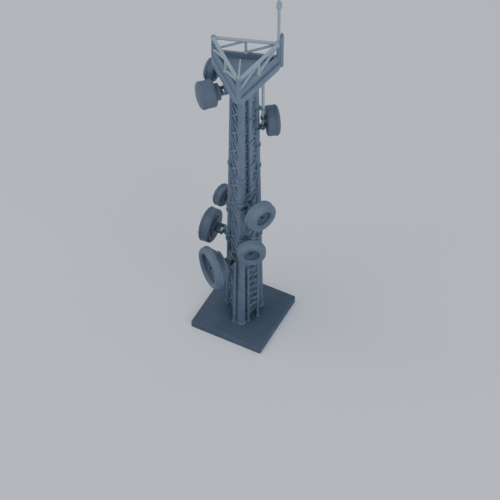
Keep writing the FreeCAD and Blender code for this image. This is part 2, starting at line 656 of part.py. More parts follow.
def make_closed_drum(letter, place, ends):
    """A shrouded drum with a rounded radome over its front."""
    start = drum_start(letter)
    radius = dish(letter, "radius")
    depth = dish(letter, "depth")
    shell_deep = depth - size("radome_thick")
    formula = "Sizes.antenna_%s_radius" % letter
    shell = primitive("Cylinder", letter + "Shell", facing(place, start), Radius=formula,
                      Height="Sizes.antenna_%s_depth - Sizes.radome_thick" % letter)
    rounded = round_edges(letter + "ShellRounded", shell, size("drum_round"), is_rim(place, radius, start))
    drum = fuse(letter + "Drum", [rounded] + ends)
    front = start + shell_deep
    cap = primitive("Cylinder", letter + "Cap", facing(place, front), Radius=formula,
                    Height="Sizes.radome_thick")
    radome = round_edges(letter + "Radome", cap, size("radome_round"), is_rim(place, radius, start + depth))
    node("radome_" + letter, radome)
    return drum


def make_open_drum(letter, place, ends):
    """A drum with an open mouth and a bowl reflector with its feed set down inside it."""
    start = drum_start(letter)
    radius = dish(letter, "radius")
    depth = dish(letter, "depth")
    formula = "Sizes.antenna_%s_radius" % letter
    mouth_rad = radius * size("mouth_share_" + letter)
    wall = radius - mouth_rad
    cone = size("cone_depth") if letter == "h" else 0.0
    front = start + cone + depth
    shell = primitive("Cylinder", letter + "Shell", facing(place, start + cone), Radius=formula,
                      Height="Sizes.antenna_%s_depth" % letter)
    outer_rim = is_rim(place, radius, front)
    parts = [round_edges(letter + "LipRounded", shell, size("lip_outer_share") * wall, outer_rim)]
    if cone:
        parts.append(primitive("Cone", letter + "Back", facing(place, start), Radius1="Sizes.cone_back_rad",
                               Radius2=formula, Height="Sizes.cone_depth"))
    else:
        back_rim = is_rim(place, radius, start)
        parts[0] = round_edges(letter + "BackRounded", parts[0], size("drum_round"), back_rim)
    blank = fuse(letter + "Blank", parts + ends)
    deep = (depth + cone) * size("mouth_depth_share")
    mouth = primitive("Cylinder", letter + "Mouth", facing(place, front - deep), Radius=mouth_rad,
                      Height=deep + PAST)
    bored = cut(letter + "Drum", blank, mouth)
    inner_rim = is_rim(place, mouth_rad, front)
    drum = round_edges(letter + "MouthRounded", bored, size("lip_inner_share") * wall, inner_rim)
    bowl_high = deep * size("bowl_share")
    rise = bowl_high - size("bowl_floor")
    ball_rad = (mouth_rad ** 2 + rise ** 2) / (2 * rise)
    disc = primitive("Cylinder", letter + "BowlDisc", facing(place, front - deep), Radius=mouth_rad,
                     Height=bowl_high)
    ball = primitive("Sphere", letter + "BowlBall",
                     shifted(place, V(front - deep + size("bowl_floor") + ball_rad, 0, 0)), Radius=ball_rad)
    bowl = cut(letter + "Bowl", disc, ball)
    feed = primitive("Cylinder", letter + "Feed", facing(place, front - deep + size("feed_sunk")),
                     Radius="Sizes.feed_rad", Height=deep * size("feed_share"))
    tip = primitive("Cylinder", letter + "FeedTip", facing(place, front - deep + deep * size("feed_tip_share")),
                    Radius="Sizes.feed_rad * 2", Height="Sizes.feed_tip_high")
    node("reflector_" + letter, fuse(letter + "Reflector", [bowl, feed, tip]))
    return drum


def make_pipe_drum(place):
    """The drum on the drop pipe: two collars on its back turn straight on the pipe."""
    drop = size("pipe_collar_drop")
    high = size("pipe_collar_high")
    collars = []
    for end, level in (("Low", -drop), ("High", drop)):
        base = shifted(place, V(0, 0, level - high / 2))
        collars.append(primitive("Cylinder", "PipeCollar" + end, base, Radius="Sizes.pipe_collar_rad",
                                 Height="Sizes.pipe_collar_high"))
        middle = V(size("pipe_web_long") / 2, 0, 0)
        collars.append(block("PipeWeb" + end, shifted(base, middle), "Sizes.pipe_web_long",
                             "Sizes.pipe_collar_rad * 2", "Sizes.pipe_collar_high"))
    drum = make_closed_drum("c", place, collars)
    bore = primitive("Cylinder", "PipeBore", shifted(place, V(0, 0, -PAST)),
                     Radius="Sizes.pipe_rad + Sizes.running_gap", Height=2 * PAST)
    node("drum_c", cut("cDrumBored", drum, bore))


def make_antennas(tower):
    pins = []
    for letter in ANTENNAS:
        pin_point = polar(dish(letter, "pin_ring"), dish(letter, "pin_azimuth"), dish(letter, "height"))
        place = turned(pin_point, dish(letter, "facing"))
        if letter == "c":
            make_pipe_drum(place)
            continue
        scale = dish(letter, "scale")
        pin = make_pin(letter, place, scale)
        pins.append(pin)
        make_bracket(letter, place, pin, tower)
        make_yoke(letter, place)
        ends = mount_end(letter, place)
        if letter in CLOSED_DRUMS:
            drum = make_closed_drum(letter, place, ends)
        else:
            drum = make_open_drum(letter, place, ends)
        node("drum_" + letter, drum)
    node("upright_pins", group("UprightPins", pins))


def check_and_write():
    doc.recompute()
    for item in doc.Objects:
        if "Invalid" in item.State or "Error" in item.State:
            raise RuntimeError("%s failed: %s" % (item.Name, item.State))
    os.makedirs("parts", exist_ok=True)
    for item in nodes:
        shape = item.Shape
        if shape.isNull() or not shape.isValid() or not shape.Solids:
            raise RuntimeError(item.Label + " has no valid solid")
        shape.exportStep("parts/" + item.Label + ".step")
        print(item.Label, len(shape.Solids), "solids", round(shape.Volume, 2), "mm3")
    print(len(nodes), "nodes")


def main():
    fill_sheet()
    make_base()
    legs, all_legs = make_legs()
    tower = make_core(all_legs)
    make_braces(all_legs)
    flanges = make_leg_trim(tower)
    make_ladder(tower)
    make_conduit(flanges)
    make_duct(all_legs)
    deck, deck_top = make_deck()
    corners, all_posts = make_cage(deck_top)
    make_head_aerials(deck, corners, all_posts)
    make_drop_pipe(tower)
    make_antennas(tower)
    check_and_write()


main()
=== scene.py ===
"""Radio mast model: finish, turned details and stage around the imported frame.

Lengths are metres in the frame's own axes: +Z is up and the base stands on Z = 0.
"""
import json
import math

import bpy
import numpy as np
from mathutils import Matrix, Vector


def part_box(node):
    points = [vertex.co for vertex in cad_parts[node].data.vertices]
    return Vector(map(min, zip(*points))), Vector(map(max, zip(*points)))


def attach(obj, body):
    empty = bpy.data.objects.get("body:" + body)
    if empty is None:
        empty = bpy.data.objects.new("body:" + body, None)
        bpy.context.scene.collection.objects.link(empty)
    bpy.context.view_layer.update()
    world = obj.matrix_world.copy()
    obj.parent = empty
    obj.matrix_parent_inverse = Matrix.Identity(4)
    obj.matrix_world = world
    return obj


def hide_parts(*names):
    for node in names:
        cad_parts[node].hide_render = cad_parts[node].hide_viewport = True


bl_info = {
    "name": "Radio Mast Model",
    "version": (1, 0, 0),
    "blender": (4, 5, 0),
    "location": "3D View > Sidebar > Mast",
    "description": "Finishes a model radio mast and sets it on a pale floor",
    "category": "Object",
}

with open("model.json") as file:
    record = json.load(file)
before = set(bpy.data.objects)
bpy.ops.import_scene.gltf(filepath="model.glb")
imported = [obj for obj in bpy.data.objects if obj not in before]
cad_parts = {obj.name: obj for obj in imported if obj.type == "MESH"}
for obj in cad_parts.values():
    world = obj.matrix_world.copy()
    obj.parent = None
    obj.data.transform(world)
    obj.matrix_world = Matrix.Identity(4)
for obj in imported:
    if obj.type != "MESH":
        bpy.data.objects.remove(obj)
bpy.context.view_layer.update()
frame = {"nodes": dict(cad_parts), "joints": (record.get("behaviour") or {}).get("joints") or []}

MM = 0.001
MERGE = 1e-8
UP = (0.0, 0.0, 1.0)
CLOSED_DRUMS = "abcde"
OPEN_DRUMS = "fgh"
DRUMS = CLOSED_DRUMS + OPEN_DRUMS
THIN_NODES = ("top_rails", "mid_posts", "cage_braces", "whip_antenna", "whip_knob",
              "lightning_rod", "drop_pipe")
PAN_JOINTS = {joint["name"][-1]: joint for joint in frame["joints"]
              if joint["name"].startswith("pan_")}
CORNER_AZIMUTHS = (-70.0, 50.0, 170.0)
MIDDLE_AZIMUTHS = (-10.0, 110.0, 230.0)
AZIMUTH_REACH = 50.0
END_SLICE = 0.05 * MM
STEEP = 0.9

# roughness of each resin, and how much of its light is scattered inside it
BODY_ROUGH, DRUM_ROUGH, THIN_ROUGH = 0.56, 0.50, 0.52
BODY_SOFT, THIN_SOFT, BASE_SOFT = 0.22, 0.40, 0.15
# how the cloud, the grain and the print layers act on colour, gloss and relief
CLOUD_STOPS = ((0.32, 0.0), (0.68, 1.0))
CLOUD_DETAIL, GRAIN_DETAIL = 3.0, 2.0
CLOUD_GLOSS, GRAIN_GLOSS = 0.08, 0.16
CLOUD_RELIEF, GRAIN_RELIEF, LAYER_RELIEF = 0.8, 0.7, 0.12
# painted light from above on up-facing surfaces: its base level and how much the grain varies it
TOP_LIGHT_LEVEL, TOP_LIGHT_GRAIN = 0.6, 0.8
# painted highlight on the edges: its base level and how much the grain varies it
HIGHLIGHT_LEVEL, HIGHLIGHT_GRAIN = 0.5, 0.5
MIDDLE = 0.5
RELIEF_STRENGTH, RELIEF_DEPTH = 0.5, 0.1
RESIN_IOR, RESIN_SHINE = 1.48, 0.35
GLOW_REACH = (0.55, 0.8, 1.0)
BEVEL_SAMPLES = 4
PAPER_GRAIN, PAPER_DETAIL = 9.0, 4.0
PAPER_ROUGH, PAPER_SHINE = 0.9, 0.1

# how many sides the turned pieces have
DRUM_SIDES, FOOT_SIDES, BAR_SIDES, SCREW_SIDES, TIP_SIDES, NUT_SIDES = 72, 28, 24, 16, 12, 6
# how many rows their curved profiles have
CROWN_ROWS, BOWL_ROWS, HORN_ROWS, HOOP_ROWS, LATCH_ROWS = 26, 24, 8, 16, 20
CAP_ROWS, SCREW_ROWS, TIP_ROWS, FLARE_ROWS = 10, 7, 6, 7
# superellipse powers: 2 is an ellipse, more is squarer
HOOP_POWER, LATCH_POWER, CAP_POWER, SCREW_POWER, TIP_POWER = 3.5, 3.0, 2.2, 2.4, 2.0

KEY_PLACE, KEY_COLOUR = (-0.42, -0.30, 1.00), (1.0, 0.985, 0.96)
FILL_PLACE, FILL_COLOUR = (0.80, -0.45, 0.55), (0.90, 0.94, 1.0)
LIGHT_SIDE = 0.70
CAMERA_REACH = 20.0


# ---------------------------------------------------------------- shader maths


class Wire:
    """A shader socket that Python arithmetic can be written on."""

    def __init__(self, tree, socket=None):
        self.tree = tree
        self.socket = socket

    def node(self, kind, settings=None, inputs=None, output=0):
        """Any node: its settings are set first, then its sockets' values or links."""
        made = self.tree.nodes.new(kind)
        for name, value in (settings or {}).items():
            if name == "stops":
                for element, (place, level) in zip(made.color_ramp.elements, value):
                    element.position = place
                    element.color = (level, level, level, 1.0)
            else:
                setattr(made, name, value)
        for name, value in (inputs or {}).items():
            if isinstance(value, Wire):
                self.tree.links.new(value.socket, made.inputs[name])
            else:
                made.inputs[name].default_value = value
        return Wire(self.tree, made.outputs[output] if made.outputs else None)

    def math(self, operation, first, second=0.0):
        return self.node("ShaderNodeMath", {"operation": operation}, {0: first, 1: second})

    def __add__(self, other):
        return self.math("ADD", self, other)

    def __sub__(self, other):
        return self.math("SUBTRACT", self, other)

    def __rsub__(self, other):
        return self.math("SUBTRACT", other, self)

    def __mul__(self, other):
        return self.math("MULTIPLY", self, other)

    __radd__ = __add__
    __rmul__ = __mul__

    def sine(self):
        return self.math("SINE", self)

    def clamp(self):
        return self.node("ShaderNodeClamp", None, {"Value": self})

    def blend(self, low, high):
        """A colour between low and high, by this value."""
        return self.node("ShaderNodeMix", {"data_type": "RGBA"}, {0: self, 6: low, 7: high}, 2)

    def noise(self, scale, detail):
        """Soft noise over this vector."""
        return self.node("ShaderNodeTexNoise", None,
                         {"Vector": self, "Scale": scale, "Detail": detail})


def new_material(name):
    """A material with no nodes, and a wire to start its nodes from."""
    material = bpy.data.materials.new(name)
    material.use_nodes = True
    material.node_tree.nodes.clear()
    return material, Wire(material.node_tree)


def resin(name, dark, light, edge, rough, softness):
    """Cast resin: clouded colour, print layers and a fine grain, with painted light: paler with
    height as painted light towards the top, paler edges as a painted highlight and paler tops as
    painted light from above."""
    finish = bpy.context.scene.mast_finish
    material, start = new_material(name)
    coords = start.node("ShaderNodeTexCoord", output="Object")
    cloud = coords.noise(1.0 / finish.cloud, CLOUD_DETAIL)
    grain = coords.noise(1.0 / finish.grain, GRAIN_DETAIL)
    height = start.node("ShaderNodeSeparateXYZ", None, {0: coords}, 2)
    layers = (height * (2 * math.pi / finish.layer)).sine()
    soft = start.node("ShaderNodeBevel", {"samples": BEVEL_SAMPLES}, {"Radius": finish.edge_soft})
    plain = start.node("ShaderNodeNewGeometry", output="Normal")
    agree = start.node("ShaderNodeVectorMath", {"operation": "DOT_PRODUCT"}, {0: soft, 1: plain},
                       "Value")
    # painted highlight: edges, where the rounded shading normal turns from the true one, are mixed
    # towards the pale edge colour
    highlit = ((1.0 - agree) * finish.edge_highlight).clamp()
    upward = start.node("ShaderNodeSeparateXYZ", None, {0: soft}, 2).clamp()
    clouded = start.node("ShaderNodeValToRGB", {"stops": CLOUD_STOPS}, {"Fac": cloud})
    body = clouded.blend(dark, light)
    # painted light: the resin pales towards the top of the mast and stays darker lower down
    risen = (height * (1.0 / finish.pale_height)).clamp()
    height_light = (risen * risen * finish.pale_top).clamp().blend(body, edge)
    # painted light from above: surfaces that face up are mixed towards the pale edge colour
    top_light = upward * finish.top_light * (TOP_LIGHT_LEVEL + TOP_LIGHT_GRAIN * grain)
    highlight = highlit * (HIGHLIGHT_LEVEL + HIGHLIGHT_GRAIN * grain)
    colour = highlight.clamp().blend(top_light.clamp().blend(height_light, edge), edge)
    relief = grain * GRAIN_RELIEF + layers * LAYER_RELIEF + cloud * CLOUD_RELIEF
    bump = start.node("ShaderNodeBump", None, {
        "Strength": RELIEF_STRENGTH, "Distance": finish.grain * RELIEF_DEPTH, "Height": relief,
        "Normal": soft})
    gloss = rough + GRAIN_GLOSS * (grain - MIDDLE) + CLOUD_GLOSS * (cloud - MIDDLE)
    shader = start.node("ShaderNodeBsdfPrincipled", None, {
        "Base Color": colour, "Roughness": gloss, "Normal": bump, "IOR": RESIN_IOR,
        "Specular IOR Level": RESIN_SHINE, "Subsurface Weight": softness,
        "Subsurface Radius": GLOW_REACH, "Subsurface Scale": finish.glow_depth})
    start.node("ShaderNodeOutputMaterial", None, {"Surface": shader})
    return material


def matt_paper(name, low, high):
    """The floor: near-white paper with a very faint cloud."""
    material, start = new_material(name)
    coords = start.node("ShaderNodeTexCoord", output="Object")
    cloud = coords.noise(PAPER_GRAIN, PAPER_DETAIL)
    shader = start.node("ShaderNodeBsdfPrincipled", None, {
        "Base Color": cloud.blend(low, high), "Roughness": PAPER_ROUGH,
        "Specular IOR Level": PAPER_SHINE})
    start.node("ShaderNodeOutputMaterial", None, {"Surface": shader})
    return material


def paint(thing, material):
    """Give an object one material."""
    thing.data.materials.clear()
    thing.data.materials.append(material)


# ---------------------------------------------------------------- surfaces


def unit(vector):
    """The vector divided by its length."""
    return vector / np.linalg.norm(vector)


def points_of(node):
    """A frame node's vertices as rows."""
    mesh = frame["nodes"][node].data
    flat = np.zeros(3 * len(mesh.vertices), np.float32)
    mesh.vertices.foreach_get("co", flat)
    return flat.reshape(-1, 3).astype(float)


def power_of(value, power):
    """A sine or cosine raised to 2 / power with its sign kept: sign(v) |v|^(2/power)."""
    return np.sign(value) * np.abs(value) ** (2.0 / power)


def ring_quads(rows, count, segments):
    """The quads of a grid of points, count rows of segments points each, closed round the segments:
    one band from each of the given rows to the next, where the row after the last is the first."""
    row = np.arange(rows)[:, None]
    step = np.arange(segments)[None, :]
    following = (step + 1) % segments
    upper = (row + 1) % count
    quads = np.stack([row * segments + step, row * segments + following,
                      upper * segments + following, upper * segments + step], axis=-1)
    return quads.reshape(-1, 4)


class Seat:
    """An origin with a forward axis: it measures points along and around that axis, and turns
    profiles about it."""

    def __init__(self, origin, forward):
        self.origin = np.array(origin, float)
        self.forward = unit(np.array(forward, float))
        spare = UP if abs(self.forward[2]) < STEEP else (1.0, 0.0, 0.0)
        self.side = unit(np.cross(spare, self.forward))
        self.rise = np.cross(self.forward, self.side)

    def along(self, points):
        """How far forward of the origin each point is."""
        return (points - self.origin) @ self.forward

    def around(self, points):
        """How far from the forward axis each point is."""
        apart = points - self.origin
        return np.hypot(apart @ self.side, apart @ self.rise)

    def turned(self, profile, segments, loop=False):
        """A surface of revolution: the row (a, r) becomes the points
        origin + a forward + r (side cos t + rise sin t) for t once round.
        A loop joins the last row to the first; a row of no radius is a pole."""
        profile = np.asarray(profile, float)
        count = len(profile)
        turn = np.arange(segments) * (2 * math.pi / segments)
        ring = np.cos(turn)[:, None] * self.side + np.sin(turn)[:, None] * self.rise
        points = (self.origin + profile[:, None, :1] * self.forward
                  + profile[:, None, 1:] * ring[None])
        quads = ring_quads(count if loop else count - 1, count, segments)
        return points.reshape(-1, 3), quads

    def blob(self, centre, half, power, segments):
        """A rounded block: a superellipsoid. With c and s the cosine and sine raised to 2 / power,
        its points are half[0] c(v) c(u), half[1] c(v) s(u) and half[2] s(v) along forward, side
        and rise."""
        around = np.linspace(-math.pi, math.pi, segments, endpoint=False)
        over = np.linspace(-math.pi / 2, math.pi / 2, segments // 2 + 1)
        level = power_of(np.cos(over), power)[:, None]
        first = level * power_of(np.cos(around), power)[None] * half[0]
        second = level * power_of(np.sin(around), power)[None] * half[1]
        third = np.repeat(power_of(np.sin(over), power)[:, None], segments, axis=1) * half[2]
        middle = (self.origin + centre[0] * self.forward + centre[1] * self.side
                  + centre[2] * self.rise)
        points = (middle + first[..., None] * self.forward + second[..., None] * self.side
                  + third[..., None] * self.rise)
        return points.reshape(-1, 3), ring_quads(len(over) - 1, len(over), segments)


def signed_volume(points, quads):
    """Six times the volume that the faces enclose: the sum of p1 . (p2 x p3 + p3 x p4) over the
    quads."""
    first, second, third, fourth = (points[quads[:, corner]] for corner in range(4))
    return (first * (np.cross(second, third) + np.cross(third, fourth))).sum()


def closed(points, quads):
    """One shell with its seams and poles merged and its faces outward: a quad with two corners at
    one pole becomes the triangle of its other corners."""
    keys, index = np.unique(np.round(points / MERGE).astype(np.int64), axis=0,
                            return_inverse=True)
    merged = keys * MERGE
    faces = index.reshape(-1)[quads]
    if signed_volume(merged - merged.mean(axis=0), faces) < 0:
        faces = faces[:, ::-1]
    same = faces == np.roll(faces, -1, axis=1)
    pinched = same.sum(axis=1) == 1
    after = same[pinched].argmax(axis=1)[:, None] + 1 + np.arange(3)
    return merged, faces[~same.any(axis=1)], np.take_along_axis(faces[pinched], after % 4, axis=1)


def piece(name, shells, body, material, replaced=(), smooth=True):
    """One mesh object of closed shells, riding on a body, in place of the nodes it replaces."""
    points = np.zeros((0, 3))
    faces = []
    for shell in shells:
        merged, quads, triangles = closed(*shell)
        faces += (quads + len(points)).tolist() + (triangles + len(points)).tolist()
        points = np.concatenate([points, merged])
    mesh = bpy.data.meshes.new(name)
    mesh.from_pydata(points.tolist(), [], faces)
    mesh.polygons.foreach_set("use_smooth", np.full(len(faces), smooth))
    if mesh.validate():
        raise RuntimeError(name + " has faces that had to be mended")
    made = bpy.data.objects.new(name, mesh)
    bpy.context.scene.collection.objects.link(made)
    paint(made, material)
    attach(made, body)
    if replaced:
        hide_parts(*replaced)


def dome(start, height, radius, power, steps):
    """A crown's profile from the rim to the pole: along = start + height sin(t)^(2/power),
    radius = radius cos(t)^(2/power)."""
    turn = np.linspace(0.0, math.pi / 2, steps)
    rim = np.stack([start + height * np.sin(turn) ** (2.0 / power),
                    radius * np.cos(turn) ** (2.0 / power)], axis=1)
    rim[-1, 1] = 0.0
    return rim


def capped(start, radius, crown):
    """The profile of a round block: a flat disc at start, a wall of the given radius and a crown."""
    return np.concatenate([[[start, 0.0], [start, radius]], crown])


def bead_loop(middle, half, power, steps):
    """A closed cross-section: the superellipse middle + half (c(t), s(t)), with c and s the cosine
    and sine raised to 2 / power."""
    turn = np.linspace(0.0, 2 * math.pi, steps, endpoint=False)
    return np.stack([middle[0] + half[0] * power_of(np.cos(turn), power),
                     middle[1] + half[1] * power_of(np.sin(turn), power)], axis=1)


def flare(length, radius, spread):
    """A concave sleeve that widens towards its start: at the share w of its length its radius is
    radius + spread (1 - w)^2."""
    way = np.linspace(0.0, 1.0, FLARE_ROWS)
    outer = np.stack([way * length, radius + spread * (1.0 - way) ** 2], axis=1)
    return np.concatenate([[[0.0, 0.0]], outer, [[length, 0.0]]])


def drum_seat(letter):
    """An antenna's seat at its pivot, facing forward, and its radome's or reflector's points."""
    pivot = np.array(PAN_JOINTS[letter]["pos_m"])
    front = points_of(("radome_" if letter in CLOSED_DRUMS else "reflector_") + letter)
    towards = front.mean(axis=0) - pivot
    return Seat(pivot, (towards[0], towards[1], 0.0)), front


def near_azimuth(points, azimuth):
    """The points whose azimuth about the mast is near the given one."""
    away = np.degrees(np.arctan2(points[:, 1], points[:, 0])) - azimuth
    return points[np.abs((away + 180.0) % 360.0 - 180.0) < AZIMUTH_REACH]


def upright_end(points, top=True):
    """A seat on the end of an upright round bar, and the bar's radius."""
    level = points[:, 2].max() if top else points[:, 2].min()
    end = points[np.abs(points[:, 2] - level) < END_SLICE]
    middle = (end.min(axis=0) + end.max(axis=0)) / 2
    seat = Seat((middle[0], middle[1], level), UP)
    return seat, seat.around(end).max()


# ---------------------------------------------------------------- settings


def length(name, description, default_mm):
    """A length setting, given in millimetres and kept in metres."""
    return bpy.props.FloatProperty(name=name, description=description, default=default_mm * MM,
                                   min=0.0, unit="LENGTH", precision=5)


def share(name, description, default):
    """A setting with no unit."""
    return bpy.props.FloatProperty(name=name, description=description, default=default, min=0.0)


def watts(name, description, default):
    """A light's power."""
    return bpy.props.FloatProperty(name=name, description=description, default=default,
                                   unit="POWER")


def angle(name, description, degrees):
    """An angle setting, given in degrees and kept in radians."""
    return bpy.props.FloatProperty(name=name, description=description,
                                   default=math.radians(degrees), subtype="ANGLE")


def tint(name, description, default):
    """A colour setting, opaque."""
    return bpy.props.FloatVectorProperty(name=name, description=description,
                                         default=default + (1.0,), size=4, min=0.0, max=1.0,
                                         subtype="COLOR")


class MastFinish(bpy.types.PropertyGroup):
    """The look of the resins."""

    cloud: length("Cloud size", "Size of the soft patches in the resin's colour", 5.0)
    grain: length("Grain size", "Size of the fine surface grain", 0.5)
    layer: length("Layer height", "Height of one printed layer", 0.15)
    edge_soft: length("Edge softness", "Radius over which a sharp edge is shaded as rounded", 0.35)
    glow_depth: length("Glow depth", "How far light travels inside the resin", 0.9)
    # painted light: the resin pales with height up to this height
    pale_height: length("Pale height", "Height at which the resin is palest", 112.0)
    pale_top: share("Pale top", "How much paler the resin is at that height", 0.38)
    # painted highlight: how strongly the edges are paled
    edge_highlight: share("Edge wear", "How much paler the edges are", 1.6)
    # painted light from above: how much paler the up-facing surfaces are
    top_light: share("Dust", "How much paler the surfaces that face up are", 0.22)
    # painted shade: the base plate's colours are a darker copy of the resin, for the shade round the
    # mast's foot
    base_dark: tint("Base, dark", "Darker patches of the base plate", (0.050, 0.072, 0.105))
    base_light: tint("Base, light", "Lighter patches of the base plate", (0.068, 0.094, 0.132))
    # painted light: pale colour of the base plate's painted edge highlights and painted light on its
    # tops
    base_edge: tint("Base, edges", "The worn edges of the base plate", (0.088, 0.114, 0.155))
    body_dark: tint("Body, dark", "Darker patches of the resin", (0.088, 0.116, 0.162))
    body_light: tint("Body, light", "Lighter patches of the resin", (0.112, 0.145, 0.196))
    drum_dark: tint("Open drums, dark", "Darker patches of the open drums", (0.078, 0.104, 0.146))
    drum_light: tint("Open drums, light", "Lighter patches of the open drums",
                     (0.102, 0.132, 0.180))
    # painted shade: a darker copy of the drum resin, for the shade on the closed drums and in the
    # hollows of the reflector bowls
    cover_dark: tint("Closed drums, dark", "Darker patches of the closed drums and the bowls",
                     (0.060, 0.080, 0.114))
    cover_light: tint("Closed drums, light", "Lighter patches of the closed drums and the bowls",
                      (0.080, 0.104, 0.144))
    # painted light: pale colour of the painted edge highlights, the painted light on tops and the
    # height paling of the closed drums and bowls
    cover_edge: tint("Closed drums, edges", "Edges and dust of the closed drums and the bowls",
                     (0.150, 0.188, 0.245))
    # painted light: thin bars are painted much paler than the body, for light that shines through
    # thin resin
    thin_dark: tint("Thin bars, dark", "Darker patches where the resin is thin",
                    (0.330, 0.375, 0.410))
    thin_light: tint("Thin bars, light", "Lighter patches where the resin is thin",
                     (0.400, 0.445, 0.480))
    # painted light: pale colour of the painted edge highlights, the painted light on up-facing tops
    # and towards the top of the mast
    edge: tint("Edges", "The worn edges and the dust", (0.260, 0.325, 0.410))


class MastDetail(bpy.types.PropertyGroup):
    """The sizes of the turned details."""

    crown_power: share("Crown fullness", "How square the radomes' fronts are; 2 is an ellipse", 2.7)
    hoop_half: length("Hoop half width", "Half the width of a drum's clamping hoop", 0.3)
    hoop_rise: length("Hoop rise", "How far a hoop stands off its drum", 0.12)
    latch: length("Latch half length", "Half the length of the latch that closes a hoop", 0.5)
    bowl_floor: length("Bowl floor", "Thickness of a reflector at its middle", 0.35)
    lip: length("Bowl lip", "Width of a reflector's flat rim", 0.14)
    feed_stem: length("Feed stem", "Radius of the feed's stem in a reflector", 0.24)
    feed_disc: length("Feed disc", "Radius of the small disc on a feed", 0.55)
    flare_long: length("Fillet length", "Length of the fillets where bars meet", 0.8)
    flare_wide: length("Fillet width", "How far those fillets spread", 0.32)
    nut_high: length("Nut height", "Height of the nuts on the upright pins", 0.28)
    screw_rad: length("Screw radius", "Radius of the screw heads on the leg clamps", 0.3)
    cap_share: share("Cap rise", "Rise of the domed caps, as a share of the bar's radius", 0.45)


class MastStage(bpy.types.PropertyGroup):
    """The camera, the floor and the lights."""

    azimuth: angle("Azimuth", "Where the camera stands about the mast", 27.61)
    elevation: angle("Elevation", "How high the camera looks down from", 47.88)
    distance: length("Distance", "From the camera to the middle of the mast", 808.2)
    target_high: length("Target height", "Height of the point that the camera stands round", 50.0)
    aim_side: share("Aim aside", "How far right of that point the camera looks, by distance",
                    0.00252)
    aim_down: share("Aim down", "How far below that point the camera looks, by distance", 0.01543)
    lens: bpy.props.FloatProperty(name="Lens", description="Focal length", default=188.48,
                                  unit="CAMERA")
    floor_side: length("Floor side", "Side of the square floor", 6000.0)
    floor_low: tint("Floor, dark", "Darker patches of the floor", (0.755, 0.780, 0.805))
    floor_high: tint("Floor, light", "Lighter patches of the floor", (0.795, 0.820, 0.845))
    sky: tint("Surround", "The light from all round", (0.780, 0.860, 1.000))
    sky_power: share("Surround strength", "Strength of the light from all round", 0.62)
    key_power: watts("Key power", "Power of the soft light above on the left", 3.7)
    fill_power: watts("Fill power", "Power of the lower soft light on the right", 3.1)


# ---------------------------------------------------------------- operators


class MastOperator(bpy.types.Operator):
    """Shared options of the mast's operators."""

    bl_options = {"REGISTER"}


class MAST_OT_resin(MastOperator):
    """Give every part of the mast its cast resin finish"""

    bl_idname = "mast.resin"
    bl_label = "Resin Finish"

    def execute(self, context):
        finish = context.scene.mast_finish
        body = resin("mast_resin", finish.body_dark, finish.body_light, finish.edge,
                     BODY_ROUGH, BODY_SOFT)
        drums = resin("drum_resin", finish.drum_dark, finish.drum_light, finish.edge,
                      DRUM_ROUGH, BODY_SOFT)
        # painted shade: a darker copy of the drum resin for the closed drums and the bowls
        shaded_covers = resin("shaded_cover_resin", finish.cover_dark, finish.cover_light, finish.cover_edge,
                       DRUM_ROUGH, BODY_SOFT)
        # painted light: a much paler copy of the resin for the thin bars, for light shining through
        # them
        thin = resin("lit_thin_resin", finish.thin_dark, finish.thin_light, finish.edge,
                     THIN_ROUGH, THIN_SOFT)
        # painted shade: a darker copy of the resin for the base plate
        base = resin("shaded_base_resin", finish.base_dark, finish.base_light, finish.base_edge,
                     BODY_ROUGH, BASE_SOFT)
        for name, node in frame["nodes"].items():
            if name == "base_plate":
                paint(node, base)
            elif name in THIN_NODES:
                paint(node, thin)
            elif name.startswith(("drum_", "radome_", "reflector_")):
                paint(node, shaded_covers if name[-1] in CLOSED_DRUMS else drums)
            else:
                paint(node, body)
        return {"FINISHED"}


class MAST_OT_radomes(MastOperator):
    """Turn the crowned radomes of the closed drums"""

    bl_idname = "mast.radomes"
    bl_label = "Radomes"

    def execute(self, context):
        detail = context.scene.mast_detail
        for letter in CLOSED_DRUMS:
            seat, points = drum_seat(letter)
            near, far = seat.along(points).min(), seat.along(points).max()
            radius = seat.around(points).max()
            crown = dome(near, far - near, radius, detail.crown_power, CROWN_ROWS)
            profile = np.concatenate([[[near, 0.0]], crown])
            # painted shade: the crowns take the darker shaded copy of the drum resin
            piece("radome_crown_" + letter, [seat.turned(profile, DRUM_SIDES)], "dish_" + letter,
                  bpy.data.materials["shaded_cover_resin"], ["radome_" + letter])
        return {"FINISHED"}


